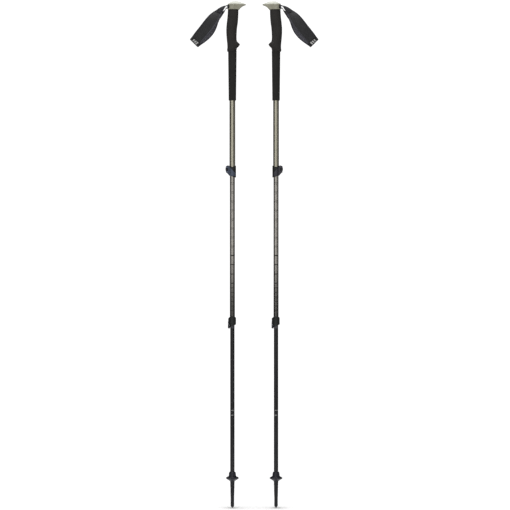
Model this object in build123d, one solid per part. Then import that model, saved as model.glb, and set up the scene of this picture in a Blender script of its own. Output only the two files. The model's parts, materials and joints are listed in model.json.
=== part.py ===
from build123d import *
import math
import os

# A pair of three-section trekking poles with lever locks, standing side by side on their
# tips. Millimetres, +Z up. The origin is on the ground, midway between the two tips. Each
# pole is built about its own axis with its beak towards +X, then set on its side of the
# pair. The left pole stands at -X, and the right pole is its mirror image.

# ---------------------------------------------------------------- overall sizes
POLE_SPACING = 121.0            # between the two pole axes
FERRULE_LENGTH = 75.0           # carbide point up to the underside of the basket
BASKET_HEIGHT = 25.0            # basket hub, bottom to top
LOWER_EXPOSED = 397.0           # lower tube seen between the basket and the lower lock
MIDDLE_EXPOSED = 384.0          # middle tube seen between the two locks
UPPER_EXPOSED = 180.0           # upper tube seen between the upper lock and the foam
EXTENSION_LENGTH = 134.0        # straight foam sleeve below the grip
GRIP_LENGTH = 118.0             # shaped foam of the grip
POMMEL_BASE_HEIGHT = 14.0       # hard base of the pommel, above the foam
POMMEL_PAD_HEIGHT = 9.5         # soft dome on top of it

# ---------------------------------------------------------------- tubes
UPPER_TUBE_RADIUS = 8.0
TUBE_STEP = 1.0                 # each tube's radius is this much less than the one above
MIDDLE_TUBE_RADIUS = UPPER_TUBE_RADIUS - TUBE_STEP
LOWER_TUBE_RADIUS = MIDDLE_TUBE_RADIUS - TUBE_STEP
TUBE_WALL = 0.9
MIDDLE_OVERLAP = 70.0           # middle tube hidden in the upper tube, poles fully out
LOWER_OVERLAP = 65.0            # lower tube hidden in the middle tube, poles fully out
TUBE_TOP_GAP = 0.5              # the upper tube ends this far below the pommel
PLUG_FLANGE = 3.0
PLUG_SPIGOT = 12.0
RUNNING_CLEARANCE = 0.05        # radial, where one piece slides or turns in another
LOOSE_CLEARANCE = 0.1           # radial, round screws and where a part only passes through
OVERSHOOT = 1.0                 # cutting shapes run this far past what they cut

# ---------------------------------------------------------------- lever locks
COLLAR_WALL = 2.1               # round the upper tube
COLLAR_RADIUS = UPPER_TUBE_RADIUS + COLLAR_WALL
UPPER_COLLAR_HEIGHT = 33.5
LOWER_COLLAR_HEIGHT = 25.5
COLLAR_DIP = 4.0                # the collar's top edge dips in front and behind
DIP_EDGE = 0.3                  # the dip starts this far inside the collar's sides
COLLAR_FOOT_SLOPE = 6.0         # the collar's lower end slopes up by this towards the ears
TUBE_SEAT = 7.0                 # gripping length below the end of the outer tube
SPLIT_WIDTH = 1.2
SLIT_SHORT = 2.0                # the tube's slit ends this far below the collar's top
FRONT_EAR = 2.4                 # thickness of the ear the cam presses on
BACK_EAR = 4.6                  # thickness of the ear that holds the nut
LEVER_HEIGHT = 28.0
UPPER_LEVER_RISE = 4.0          # bottom of the lever above the bottom of the collar
LOWER_LEVER_RISE = -8.5
LEVER_PLATE = 2.0
LEVER_GAP = 0.4                 # between the closed lever and the collar
LEVER_FIRST_ANGLE = 218.0       # the plate wraps the collar between these angles
LEVER_LAST_ANGLE = 322.0
LEVER_ROOT_ANGLE = 232.0        # where the hub's web joins the plate
LEVER_CORNER = 1.6
HUB_RADIUS = 4.4
HUB_FLAT = 3.5                  # the cam's flat faces the ear when the lever is open
LEVER_OPENING = 110.0           # degrees, sets where that flat is
PIVOT_X = -15.2
PIVOT_PIN_RADIUS = 2.6
PIVOT_PIN_BOTTOM = 9.4          # ends of the pin above the bottom of the lever
PIVOT_PIN_TOP = 24.7
SCREW_HEIGHT = 18.0             # screw above the bottom of the lever
SCREW_RADIUS = 1.5
SCREW_HEAD_RADIUS = 2.75
SCREW_HEAD_HEIGHT = 1.6
SCREW_SEAT = 2.0                # flat on the pivot pin, from the pin's axis
SCREW_WINDOW = 7.2              # height of the lever's slot around the screw
WINDOW_MARGIN = 0.6
SOCKET_RADIUS = 1.25            # hexagon socket in the screw's head
SOCKET_DEPTH = 1.0
NUT_ACROSS_FLATS = 5.5
NUT_HEIGHT = 2.4
LOWER_LOCK_TURN = -90.0         # the lower locks have their ears behind

# Side view of the lever, a slanting band: x, and height as a share of the lever's height.
LEVER_OUTLINE = (
    (-17.6, 1.00),
    (-9.6, 0.99),
    (-1.0, 0.66),
    (5.0, 0.42),
    (11.8, 0.18),
    (11.0, 0.00),
    (-4.0, 0.00),
    (-9.5, 0.08),
    (-17.0, 0.38),
    (-19.6, 0.62),
)

# Side view of the collar's ears: x, and height above the bottom of the lever.
EAR_OUTLINE = (
    (0.0, 31.8),
    (-10.6, 31.8),
    (-17.0, 27.4),
    (-19.0, 22.4),
    (-19.2, 17.0),
    (-16.6, 10.8),
    (-8.2, 2.2),
    (-3.6, 0.6),
    (0.0, 0.6),
)

# ---------------------------------------------------------------- grip
FOAM_LIP = 8.8                  # the grip foam tapers this far below its rear ledge
CORE_WALL = 1.6
EXTENSION_TOP_RADIUS = UPPER_TUBE_RADIUS + 3.8
EXTENSION_BOTTOM_RADIUS = UPPER_TUBE_RADIUS + 2.4
EXTENSION_ROUNDING = 1.5
HEAD_SPIGOT = 6.0

# Foam sections: height above the ledge as a share of the grip above it, reach behind the
# axis, reach in front of it, and half the depth.
FOAM_SECTIONS = (
    (0.000, 14.8, 12.4, 13.2),
    (0.046, 14.0, 17.6, 13.4),
    (0.106, 14.1, 20.9, 13.8),
    (0.143, 14.4, 18.0, 13.9),
    (0.202, 15.1, 12.8, 14.0),
    (0.312, 16.2, 11.7, 14.2),
    (0.422, 16.9, 12.2, 14.3),
    (0.532, 16.8, 13.0, 14.3),
    (0.660, 15.6, 15.0, 14.2),
    (0.826, 13.6, 16.4, 14.0),
    (1.000, 12.4, 17.0, 13.8),
)

# ---------------------------------------------------------------- pommel
POMMEL_BACK = 13.6
POMMEL_RADIUS = 14.2
BEAK_REACH = 37.5
BEAK_RADIUS = 4.0
COLLAR_BACK = 12.4
COLLAR_FRONT = 18.5
HEAD_EDGE = 1.6                 # the beak's edge is this thick
HEAD_BACK_SLOPE = 5.0           # height of the slope at the foot of the back
UNDERSIDE_X = 25.0              # middle of the hollow under the beak
UNDERSIDE_RISE = 7.0
PAD_INSET = 0.6
PAD_RIM = 1.0
WEDGE_WALL = 0.6                # between the wedge and the strap slot
WEDGE_DROP = 3.0                # wedge below and above the strap pin
WEDGE_RISE = 3.6
WEDGE_FOOT = 9.0
WEDGE_HEAD = 11.0

# ---------------------------------------------------------------- wrist strap
STRAP_PIN_X = -11.5
STRAP_PIN_RISE = 7.5            # above the foot of the pommel's base
STRAP_PIN_RADIUS = 2.6
STRAP_PIN_LENGTH = 25.0
WEBBING_WIDTH = 20.0
WEBBING_THICKNESS = 1.5
WEBBING_LEG = 5.0
SLOT_SIDE_GAP = 0.8
SLOT_GAP = 0.5
SLOT_UP = 21.0                  # how far the slot lets the strap swing, in degrees
SLOT_DOWN = 21.0
SLOT_REACH = 40.0
STRAP_FALL = 45.5               # the strap runs out and down at this angle
STRAP_LINE_X = 3.5              # start of the strap's line, in front of and below its pin
STRAP_LINE_DROP = 0.5
LINING_THICKNESS = 2.0
LINING_START = 17.5             # the lining begins this far out along the strap
LINING_TRIM = 1.2               # the lining stops this far inside the band's edges
LAYER_GAP = 0.2                 # between the layers of the band
PATCH_THICKNESS = 0.9
PATCH_START = 129.0
PATCH_TRIM = 0.2
FOLD_CENTRE = 135.5
FOLD_RADIUS = 4.0
FOLD_WIDTH = 31.4
FOLD_STEPS = 4

# The strap's two legs, from the webbing outwards: distance out along the strap, height
# above the line it follows, sideways place, twist in degrees and width.
FRONT_LEG = (
    (5.0, 10.4, -0.3, 10.0, 20.0),
    (9.5, 11.4, -1.0, 21.0, 20.0),
    (18.0, 11.4, -2.5, 34.0, 20.5),
    (27.0, 11.6, -5.2, 46.0, 22.5),
    (40.0, 10.6, -9.6, 66.0, 27.0),
    (53.0, 8.6, -12.6, 82.0, 31.2),
    (70.0, 6.2, -14.5, 90.0, 33.5),
    (95.0, 3.4, -13.5, 90.0, 33.5),
    (118.0, 1.8, -9.5, 90.0, 32.5),
    (130.0, 0.6, -5.6, 90.0, 31.6),
)
BACK_LEG = (
    (17.0, 3.0, 1.2, 10.0, 20.0),
    (26.0, 3.2, 3.4, 18.0, 20.5),
    (38.0, 2.2, 6.5, 26.0, 22.0),
    (52.0, 0.6, 10.0, 40.0, 26.0),
    (66.0, -1.5, 13.0, 58.0, 30.0),
    (82.0, -2.4, 14.5, 84.0, 33.0),
    (99.0, -3.6, 13.5, 90.0, 33.5),
    (118.0, -2.4, 9.5, 90.0, 32.5),
    (130.0, -0.8, 5.6, 90.0, 31.6),
)

# ---------------------------------------------------------------- basket and tip
FERRULE_SLEEVE = LOWER_TUBE_RADIUS + 1.2    # outer radius of the part inside the basket
FERRULE_TOP = 19.0              # sleeve above the underside of the basket
FERRULE_SPIGOT = 18.0           # spigot in the tube above the sleeve
FERRULE_NOSE = 2.0              # carbide showing below the ferrule
FERRULE_SHOULDER = 1.0          # step above the land
TUBE_IN_FERRULE = 3.0           # the tube starts this far above the basket's underside
LAND_RADIUS = 5.0
LAND_BOTTOM = 8.0
LAND_TOP = 30.0
CARBIDE_RADIUS = 1.8
CARBIDE_LENGTH = 22.0
CARBIDE_POINT = 0.7
CARBIDE_TAPER = 2.4
BASKET_RADIUS = 18.0
BASKET_FOOT = 1.15              # wall at the underside of the hub
BASKET_CAP = 0.2                # room above the ferrule's sleeve
SCALLOPS = 6
SCALLOP_RADIUS = 4.2
SCALLOP_CENTRE = 20.0

# Ferrule's rounded nose: how far inside the land's radius, and height above its end.
NOSE_PROFILE = (
    (2.4, 0.0),
    (0.9, 1.2),
    (0.2, 3.4),
)

# Basket's disc: radius as a share of the basket's, and height above its underside.
DISC_PROFILE = (
    (0.700, 2.7),
    (0.967, 6.0),
    (1.000, 6.8),
    (1.000, 8.0),
    (0.956, 8.6),
    (0.830, 10.2),
)

# Bell that stands on the disc: wall outside the ferrule's sleeve, and height.
BELL_PROFILE = (
    (3.6, 12.2),
    (2.9, 14.2),
    (2.6, 18.0),
    (2.2, 21.4),
    (1.3, 23.8),
    (-0.3, 25.0),
)

# ---------------------------------------------------------------- levels up the pole
BASKET_BOTTOM = FERRULE_LENGTH
BASKET_TOP = BASKET_BOTTOM + BASKET_HEIGHT
LOWER_LOCK_BOTTOM = BASKET_TOP + LOWER_EXPOSED - LOWER_LEVER_RISE
LOWER_LOCK_TOP = LOWER_LOCK_BOTTOM + LOWER_COLLAR_HEIGHT
UPPER_LOCK_BOTTOM = LOWER_LOCK_TOP + MIDDLE_EXPOSED
UPPER_LOCK_TOP = UPPER_LOCK_BOTTOM + UPPER_COLLAR_HEIGHT
EXTENSION_BOTTOM = UPPER_LOCK_TOP + UPPER_EXPOSED
GRIP_BOTTOM = EXTENSION_BOTTOM + EXTENSION_LENGTH
GRIP_LEDGE = GRIP_BOTTOM + FOAM_LIP
GRIP_TOP = GRIP_BOTTOM + GRIP_LENGTH
PAD_BOTTOM = GRIP_TOP + POMMEL_BASE_HEIGHT
POLE_TOP = PAD_BOTTOM + POMMEL_PAD_HEIGHT
STRAP_PIN_Z = GRIP_TOP + STRAP_PIN_RISE
LOWER_TUBE_BOTTOM = BASKET_BOTTOM + TUBE_IN_FERRULE
LOWER_TUBE_TOP = LOWER_LOCK_BOTTOM + TUBE_SEAT + LOWER_OVERLAP
MIDDLE_TUBE_BOTTOM = LOWER_LOCK_BOTTOM + TUBE_SEAT
MIDDLE_TUBE_TOP = UPPER_LOCK_BOTTOM + TUBE_SEAT + MIDDLE_OVERLAP
UPPER_TUBE_BOTTOM = UPPER_LOCK_BOTTOM + TUBE_SEAT
UPPER_TUBE_TOP = GRIP_TOP - TUBE_TOP_GAP


# ---------------------------------------------------------------- general shapes
def rod(radius, bottom, top):
    """A round bar about the Z axis."""
    return Pos(0, 0, bottom) * extrude(Circle(radius), amount=top - bottom)


def sleeve(outer, inner, bottom, top):
    """A round tube about the Z axis."""
    return rod(outer, bottom, top) - rod(inner, bottom, top)


def cross_rod(radius, x, z, y_from, y_to):
    """A round bar along Y."""
    bar = extrude(Circle(radius), amount=y_to - y_from)
    return Pos(x, y_from, z) * Rot(-90, 0, 0) * bar


def turned(points):
    """A solid turned about Z from a closed outline of (radius, height) points."""
    outline = Polyline([Plane.XZ.from_local_coords((r, z)) for r, z in points], close=True)
    return revolve(make_face(outline), axis=Axis.Z)


def side_plate(points, depth):
    """A plate cut from an (x, z) outline, depth thick each way from the XZ plane."""
    outline = make_face(Polyline(points, close=True))
    return extrude(Plane.XZ * outline, amount=depth, both=True)


# ---------------------------------------------------------------- grip
def grip_core(bore):
    """Hard sleeve that carries the grip foam on the upper tube."""
    return sleeve(bore + CORE_WALL, bore, GRIP_BOTTOM, GRIP_TOP)


def grip_foam():
    """Shaped foam with a finger rest in front and a ledge behind."""
    span = GRIP_TOP - GRIP_LEDGE
    low = Pos(0, 0, GRIP_BOTTOM) * Circle(EXTENSION_TOP_RADIUS)
    faces = [low]
    for share, back, front, depth in FOAM_SECTIONS:
        centre = Pos((front - back) / 2, 0, GRIP_LEDGE + share * span)
        faces.append(centre * Ellipse((front + back) / 2, depth))
    body = loft(faces, ruled=True)
    bore = UPPER_TUBE_RADIUS + CORE_WALL
    return body - rod(bore, GRIP_BOTTOM - OVERSHOOT, GRIP_TOP + OVERSHOOT)


def grip_extension():
    """Straight, slightly tapered foam sleeve below the grip."""
    low = EXTENSION_BOTTOM
    start = EXTENSION_BOTTOM_RADIUS - EXTENSION_ROUNDING
    return turned((
        (UPPER_TUBE_RADIUS, low),
        (start, low),
        (EXTENSION_BOTTOM_RADIUS, low + EXTENSION_ROUNDING),
        (EXTENSION_TOP_RADIUS, GRIP_BOTTOM),
        (UPPER_TUBE_RADIUS, GRIP_BOTTOM),
    ))


def pommel_outline(inset):
    """Top view of the pommel: round behind, drawn out to a beak in front."""
    back = POMMEL_RADIUS - POMMEL_BACK
    beak = BEAK_REACH - BEAK_RADIUS
    back_radius = POMMEL_RADIUS - inset
    beak_radius = BEAK_RADIUS - inset
    lean = math.asin((back_radius - beak_radius) / (beak - back))
    forward = math.sin(lean)
    aside = math.cos(lean)
    back_corner = (back + back_radius * forward, back_radius * aside)
    beak_corner = (beak + beak_radius * forward, beak_radius * aside)
    heel = ThreePointArc(back_corner, (back - back_radius, 0), (back_corner[0], -back_corner[1]))
    nose = ThreePointArc((beak_corner[0], -beak_corner[1]), (beak + beak_radius, 0), beak_corner)
    flank = Line(heel @ 1, nose @ 0)
    return make_face(heel + flank + nose + Line(nose @ 1, heel @ 0))


def strap_slot():
    """Room in the pommel's back for the webbing to swing about its pin."""
    roll = STRAP_PIN_RADIUS + RUNNING_CLEARANCE + WEBBING_THICKNESS + SLOT_GAP
    leg = Pos(-SLOT_REACH / 2, 0) * Rectangle(SLOT_REACH, 2 * roll)
    swept = make_hull((Rot(0, 0, -SLOT_UP) * leg).edges() + (Rot(0, 0, SLOT_DOWN) * leg).edges())
    mouth = swept + Circle(roll)
    half_width = WEBBING_WIDTH / 2 + SLOT_SIDE_GAP
    return Pos(STRAP_PIN_X, 0, STRAP_PIN_Z) * extrude(Plane.XZ * mouth, amount=half_width, both=True)


def grip_head():
    """Hard base of the pommel, with a beak, a strap slot and a spigot for the tube."""
    blank = Pos(0, 0, GRIP_TOP) * extrude(pommel_outline(0), amount=POMMEL_BASE_HEIGHT)
    tip = BEAK_REACH + OVERSHOOT
    heel = -POMMEL_BACK - OVERSHOOT
    hollow = ThreePointArc(
        (COLLAR_FRONT, GRIP_TOP),
        (UNDERSIDE_X, GRIP_TOP + UNDERSIDE_RISE),
        (tip, PAD_BOTTOM - HEAD_EDGE),
    )
    rest = Polyline(
        (tip, PAD_BOTTOM - HEAD_EDGE),
        (tip, PAD_BOTTOM),
        (heel, PAD_BOTTOM),
        (heel, GRIP_TOP + HEAD_BACK_SLOPE),
        (-COLLAR_BACK, GRIP_TOP),
        (COLLAR_FRONT, GRIP_TOP),
    )
    side = extrude(Plane.XZ * make_face(hollow + rest), amount=POMMEL_RADIUS + OVERSHOOT, both=True)
    spigot = rod(UPPER_TUBE_RADIUS - TUBE_WALL, GRIP_TOP - HEAD_SPIGOT, GRIP_TOP)
    hole = cross_rod(
        STRAP_PIN_RADIUS, STRAP_PIN_X, STRAP_PIN_Z, -STRAP_PIN_LENGTH / 2, STRAP_PIN_LENGTH / 2
    )
    return (blank & side) + spigot - strap_slot() - hole - wedge_block(0)


def pommel_pad():
    """Soft dome on the pommel, crowned along and across."""
    blank = Pos(0, 0, PAD_BOTTOM) * extrude(pommel_outline(PAD_INSET), amount=POMMEL_PAD_HEIGHT)
    rim = PAD_BOTTOM + PAD_RIM
    middle = (BEAK_REACH - POMMEL_BACK) / 2
    along = make_face(
        ThreePointArc((-POMMEL_BACK, rim), (middle, POLE_TOP), (BEAK_REACH, rim))
        + Polyline((BEAK_REACH, rim), (BEAK_REACH, PAD_BOTTOM), (-POMMEL_BACK, PAD_BOTTOM),
                   (-POMMEL_BACK, rim))
    )
    across = make_face(
        ThreePointArc((-POMMEL_RADIUS, rim), (0, POLE_TOP), (POMMEL_RADIUS, rim))
        + Polyline((POMMEL_RADIUS, rim), (POMMEL_RADIUS, PAD_BOTTOM), (-POMMEL_RADIUS, PAD_BOTTOM),
                   (-POMMEL_RADIUS, rim))
    )
    crown = extrude(Plane.XZ * along, amount=POMMEL_RADIUS, both=True)
    return blank & crown & extrude(Plane.YZ * across, amount=2 * BEAK_REACH, both=True)


def wedge_block(gap):
    """The strap wedge's place in front of the webbing, less a gap all round."""
    roll = STRAP_PIN_RADIUS + WEBBING_THICKNESS + 2 * SLOT_GAP
    front = STRAP_PIN_X + roll + WEDGE_WALL
    low = STRAP_PIN_Z - WEDGE_DROP + gap
    high = STRAP_PIN_Z + WEDGE_RISE - gap
    return side_plate((
        (front + gap, low),
        (front + WEDGE_FOOT - gap, low),
        (front + WEDGE_HEAD - gap, high),
        (front + gap, high),
    ), WEBBING_WIDTH / 2 - gap)


# ---------------------------------------------------------------- wrist strap
def strap_frame():
    """Start of the strap's line, and its directions out, up and sideways."""
    fall = math.radians(STRAP_FALL)
    start = Vector(STRAP_PIN_X + STRAP_LINE_X, 0, STRAP_PIN_Z - STRAP_LINE_DROP)
    out = Vector(-math.cos(fall), 0, -math.sin(fall))
    up = Vector(-math.sin(fall), 0, math.cos(fall))
    return start, out, up, Vector(0, 1, 0)


def strap_stations():
    """Places, width directions and widths along the strap, out on the front leg and back."""
    start, out, up, across = strap_frame()
    folds = []
    for step in range(FOLD_STEPS + 1):
        turn = math.pi * step / FOLD_STEPS - math.pi / 2
        along = FOLD_CENTRE + FOLD_RADIUS * math.cos(turn)
        folds.append((along, 0.0, FOLD_RADIUS * math.sin(turn), 90.0, FOLD_WIDTH))
    stations = []
    for along, rise, side, twist, width in list(FRONT_LEG) + folds + list(reversed(BACK_LEG)):
        turn = math.radians(twist)
        place = start + out * along + up * rise + across * side
        stations.append((place, across * math.cos(turn) + up * math.sin(turn), width, along))
    offset = STRAP_PIN_RADIUS + RUNNING_CLEARANCE + WEBBING_THICKNESS / 2
    tip_x = STRAP_PIN_X - WEBBING_LEG
    first = (Vector(tip_x, 0, STRAP_PIN_Z + offset), across, WEBBING_WIDTH, 0.0)
    last = (Vector(tip_x, 0, STRAP_PIN_Z - offset), across, WEBBING_WIDTH, 0.0)
    return [first] + stations + [last]


def ribbon(stations, inner, outer, trim):
    """A band lofted through stations, between two offsets along its outward normal."""
    sections = []
    for index, (place, across, width, _) in enumerate(stations):
        before = stations[max(index - 1, 0)][0]
        after = stations[min(index + 1, len(stations) - 1)][0]
        if index in (0, len(stations) - 1) and across.Z == 0:
            along = Vector(-1, 0, 0) if index == 0 else Vector(1, 0, 0)
        else:
            along = (after - before).normalized()
        normal = across.cross(along).normalized()
        across = along.cross(normal).normalized()
        half = across * (width / 2 - trim)
        corners = (
            place - half + normal * inner,
            place + half + normal * inner,
            place + half + normal * outer,
            place - half + normal * outer,
        )
        sections.append(Wire.make_polygon(corners, close=True))
    return Solid.make_loft(sections, ruled=True)


def stations_beyond(distance):
    """The strap's stations that lie at least this far out."""
    return [station for station in strap_stations() if station[3] >= distance]


def strap_webbing():
    """Webbing round the strap pin, with a short leg above and one below."""
    inner = STRAP_PIN_RADIUS + RUNNING_CLEARANCE
    outer = inner + WEBBING_THICKNESS
    leg_box = Pos(-WEBBING_LEG / 2, 0) * Rectangle(WEBBING_LEG, 2 * outer)
    gap_box = Pos(-WEBBING_LEG / 2, 0) * Rectangle(WEBBING_LEG, 2 * inner)
    outline = (Circle(outer) + leg_box) - Circle(inner) - gap_box
    band = extrude(Plane.XZ * outline, amount=WEBBING_WIDTH / 2, both=True)
    return Pos(STRAP_PIN_X, 0, STRAP_PIN_Z) * band


def strap_band():
    """Twisted outer band that widens round the wrist."""
    return ribbon(strap_stations(), -WEBBING_THICKNESS / 2, WEBBING_THICKNESS / 2, 0)


def strap_lining():
    """Soft lining on the inside of the wide part of the band."""
    outer = -WEBBING_THICKNESS / 2 - LAYER_GAP
    return ribbon(stations_beyond(LINING_START), outer - LINING_THICKNESS, outer, LINING_TRIM)


def strap_end_patch():
    """Stiff patch round the folded end of the band."""
    inner = WEBBING_THICKNESS / 2 + LAYER_GAP
    return ribbon(stations_beyond(PATCH_START), inner, inner + PATCH_THICKNESS, PATCH_TRIM)


def strap_pin():
    return cross_rod(
        STRAP_PIN_RADIUS, STRAP_PIN_X, STRAP_PIN_Z, -STRAP_PIN_LENGTH / 2, STRAP_PIN_LENGTH / 2
    )


# ---------------------------------------------------------------- lever lock
# A lock is built about the pole axis with its collar standing on z = 0, its ears towards
# -X and its lever wrapped round the front.
def rounded_plate(points):
    """A plate from an (x, z) outline with its corners rounded."""
    outline = make_face(Polyline(points, close=True))
    outline = fillet(outline.vertices(), LEVER_CORNER)
    return extrude(Plane.XZ * outline, amount=2 * COLLAR_RADIUS, both=True)


def pivot_y():
    return -(SPLIT_WIDTH / 2 + FRONT_EAR + HUB_RADIUS + RUNNING_CLEARANCE)


def tube_slit(bottom, length):
    """The slit that lets the end of a tube close, towards -X."""
    box = Box(2 * COLLAR_RADIUS, SPLIT_WIDTH, length, align=(Align.MAX, Align.CENTER, Align.MIN))
    return Pos(0, 0, bottom) * box


def clamp_collar(outer_tube, inner_tube, height, rise):
    """Split collar with two ears, on the end of the outer tube."""
    body = rod(COLLAR_RADIUS, 0, height)
    back_edge = SPLIT_WIDTH / 2 + BACK_EAR
    front_edge = SPLIT_WIDTH / 2 + FRONT_EAR
    span = 4 * COLLAR_RADIUS
    ears = Pos(0, -front_edge, 0) * Box(
        span, front_edge + back_edge, height, align=(Align.MAX, Align.MIN, Align.MIN)
    )
    body += ears & (Pos(0, 0, rise) * rounded_plate(EAR_OUTLINE))
    body -= side_plate((
        (COLLAR_RADIUS, -OVERSHOOT),
        (COLLAR_RADIUS, 0),
        (-COLLAR_RADIUS, COLLAR_FOOT_SLOPE),
        (-2 * COLLAR_RADIUS, COLLAR_FOOT_SLOPE),
        (-2 * COLLAR_RADIUS, -OVERSHOOT),
    ), 2 * COLLAR_RADIUS)
    body -= rod(inner_tube + RUNNING_CLEARANCE, -OVERSHOOT, height + OVERSHOOT)
    body -= rod(outer_tube, TUBE_SEAT, height + OVERSHOOT)
    body -= tube_slit(-OVERSHOOT, height + 2 * OVERSHOOT)
    half = COLLAR_RADIUS - DIP_EDGE
    dip_radius = (half ** 2 + COLLAR_DIP ** 2) / (2 * COLLAR_DIP)
    body -= cross_rod(dip_radius, 0, height + dip_radius - COLLAR_DIP, -span / 2, span / 2)
    screw_z = rise + SCREW_HEIGHT
    hole = SCREW_RADIUS + LOOSE_CLEARANCE
    body -= cross_rod(hole, PIVOT_X, screw_z, -front_edge - OVERSHOOT, back_edge + OVERSHOOT)
    pocket = extrude(RegularPolygon(NUT_ACROSS_FLATS / 2, 6, major_radius=False), amount=NUT_HEIGHT)
    return body - Pos(PIVOT_X, back_edge - NUT_HEIGHT, screw_z) * Rot(-90, 0, 0) * pocket


def clamp_nut(rise):
    """Hexagon nut sunk in the back ear."""
    back_edge = SPLIT_WIDTH / 2 + BACK_EAR
    hexagon = RegularPolygon(NUT_ACROSS_FLATS / 2, 6, major_radius=False) - Circle(SCREW_RADIUS)
    nut = extrude(hexagon, amount=NUT_HEIGHT)
    return Pos(PIVOT_X, back_edge - NUT_HEIGHT, rise + SCREW_HEIGHT) * Rot(-90, 0, 0) * nut


def clamp_screw(rise):
    """Tension screw through the pivot pin, both ears and the nut."""
    z = rise + SCREW_HEIGHT
    back_edge = SPLIT_WIDTH / 2 + BACK_EAR
    head_y = pivot_y() - SCREW_SEAT
    shank = cross_rod(SCREW_RADIUS, PIVOT_X, z, head_y, back_edge)
    head = cross_rod(SCREW_HEAD_RADIUS, PIVOT_X, z, head_y - SCREW_HEAD_HEIGHT, head_y)
    socket = extrude(RegularPolygon(SOCKET_RADIUS, 6), amount=SOCKET_DEPTH)
    return shank + head - Pos(PIVOT_X, head_y - SCREW_HEAD_HEIGHT, z) * Rot(-90, 0, 0) * socket


def lever_pin(rise):
    """Barrel pin the lever turns on, cross-drilled for the screw."""
    pin = Pos(PIVOT_X, pivot_y(), rise) * rod(PIVOT_PIN_RADIUS, PIVOT_PIN_BOTTOM, PIVOT_PIN_TOP)
    z = rise + SCREW_HEIGHT
    front = pivot_y() - HUB_RADIUS
    pin -= cross_rod(SCREW_RADIUS + RUNNING_CLEARANCE, PIVOT_X, z, front, 0)
    recess = SCREW_HEAD_RADIUS + 2 * LOOSE_CLEARANCE
    return pin - cross_rod(recess, PIVOT_X, z, front, pivot_y() - SCREW_SEAT)


def lock_lever(rise):
    """Cam lever: a fork on the pivot pin and a plate round the collar."""
    inside = COLLAR_RADIUS + LEVER_GAP
    middle = inside + LEVER_PLATE / 2
    pivot = Pos(PIVOT_X, pivot_y())
    hub = pivot * Circle(HUB_RADIUS)
    root = math.radians(LEVER_ROOT_ANGLE)
    root_disc = Pos(middle * math.cos(root), middle * math.sin(root)) * Circle(LEVER_PLATE / 2)
    web = make_hull(hub.edges() + root_disc.edges())
    reach = 2 * COLLAR_RADIUS
    ring = Circle(inside + LEVER_PLATE) - Circle(inside)
    corners = [(0, 0)]
    for share in (0.0, 0.25, 0.5, 0.75, 1.0):
        turn = LEVER_FIRST_ANGLE + (LEVER_LAST_ANGLE - LEVER_FIRST_ANGLE) * share
        angle = math.radians(turn)
        corners.append((reach * math.cos(angle), reach * math.sin(angle)))
    sector = make_face(Polyline(corners, close=True))
    plan = web + (ring & sector) - Circle(inside)
    outline = [(x, share * LEVER_HEIGHT) for x, share in LEVER_OUTLINE]
    lever = extrude(plan, amount=LEVER_HEIGHT) & rounded_plate(outline)
    bore = PIVOT_PIN_RADIUS + RUNNING_CLEARANCE
    lever -= pivot * rod(bore, -OVERSHOOT, LEVER_HEIGHT + OVERSHOOT)
    window = pivot * rod(HUB_RADIUS + WINDOW_MARGIN, 0, SCREW_WINDOW)
    lever -= Pos(0, 0, SCREW_HEIGHT - SCREW_WINDOW / 2) * window
    flat = Pos(HUB_FLAT, 0, 0) * Box(
        HUB_RADIUS, 2 * HUB_RADIUS, LEVER_HEIGHT, align=(Align.MIN, Align.CENTER, Align.MIN)
    )
    lever -= pivot * Rot(0, 0, 90 + LEVER_OPENING) * flat
    return Pos(0, 0, rise) * lever


def lock(outer_tube, inner_tube, height, rise):
    """Every piece of one lever lock."""
    return {
        "clamp": clamp_collar(outer_tube, inner_tube, height, rise),
        "lever": lock_lever(rise),
        "lever_pin": lever_pin(rise),
        "clamp_screw": clamp_screw(rise),
        "clamp_nut": clamp_nut(rise),
    }


# ---------------------------------------------------------------- tubes
def end_plug(bore, guide, top):
    """Plug in the top of a tube, with a flange that guides it in the next tube."""
    plug = rod(bore, top - PLUG_SPIGOT, top)
    return plug + rod(guide - RUNNING_CLEARANCE, top, top + PLUG_FLANGE)


# ---------------------------------------------------------------- basket and tip
def tip_ferrule():
    """Plastic tip: a nose for the carbide, a land for a rubber foot, a sleeve and spigot."""
    top = BASKET_BOTTOM + FERRULE_TOP
    spigot = LOWER_TUBE_RADIUS - TUBE_WALL
    nose = [(LAND_RADIUS - inset, FERRULE_NOSE + rise) for inset, rise in NOSE_PROFILE]
    body = turned([(0, FERRULE_NOSE)] + nose + [
        (LAND_RADIUS, LAND_BOTTOM),
        (LAND_RADIUS, LAND_TOP),
        (LAND_RADIUS + 2 * LOOSE_CLEARANCE, LAND_TOP + FERRULE_SHOULDER),
        (LOWER_TUBE_RADIUS + LOOSE_CLEARANCE, BASKET_BOTTOM - TUBE_IN_FERRULE),
        (FERRULE_SLEEVE, BASKET_BOTTOM - FERRULE_SHOULDER),
        (FERRULE_SLEEVE, top),
        (LOWER_TUBE_RADIUS, top),
        (LOWER_TUBE_RADIUS, LOWER_TUBE_BOTTOM),
        (spigot, LOWER_TUBE_BOTTOM),
        (spigot, top + FERRULE_SPIGOT),
        (0, top + FERRULE_SPIGOT),
    ])
    return body - rod(CARBIDE_RADIUS, 0, CARBIDE_LENGTH)


def carbide_tip():
    """Hard point let into the ferrule."""
    return turned((
        (0, 0),
        (CARBIDE_POINT, 0),
        (CARBIDE_RADIUS, CARBIDE_TAPER),
        (CARBIDE_RADIUS, CARBIDE_LENGTH),
        (0, CARBIDE_LENGTH),
    ))


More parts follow.
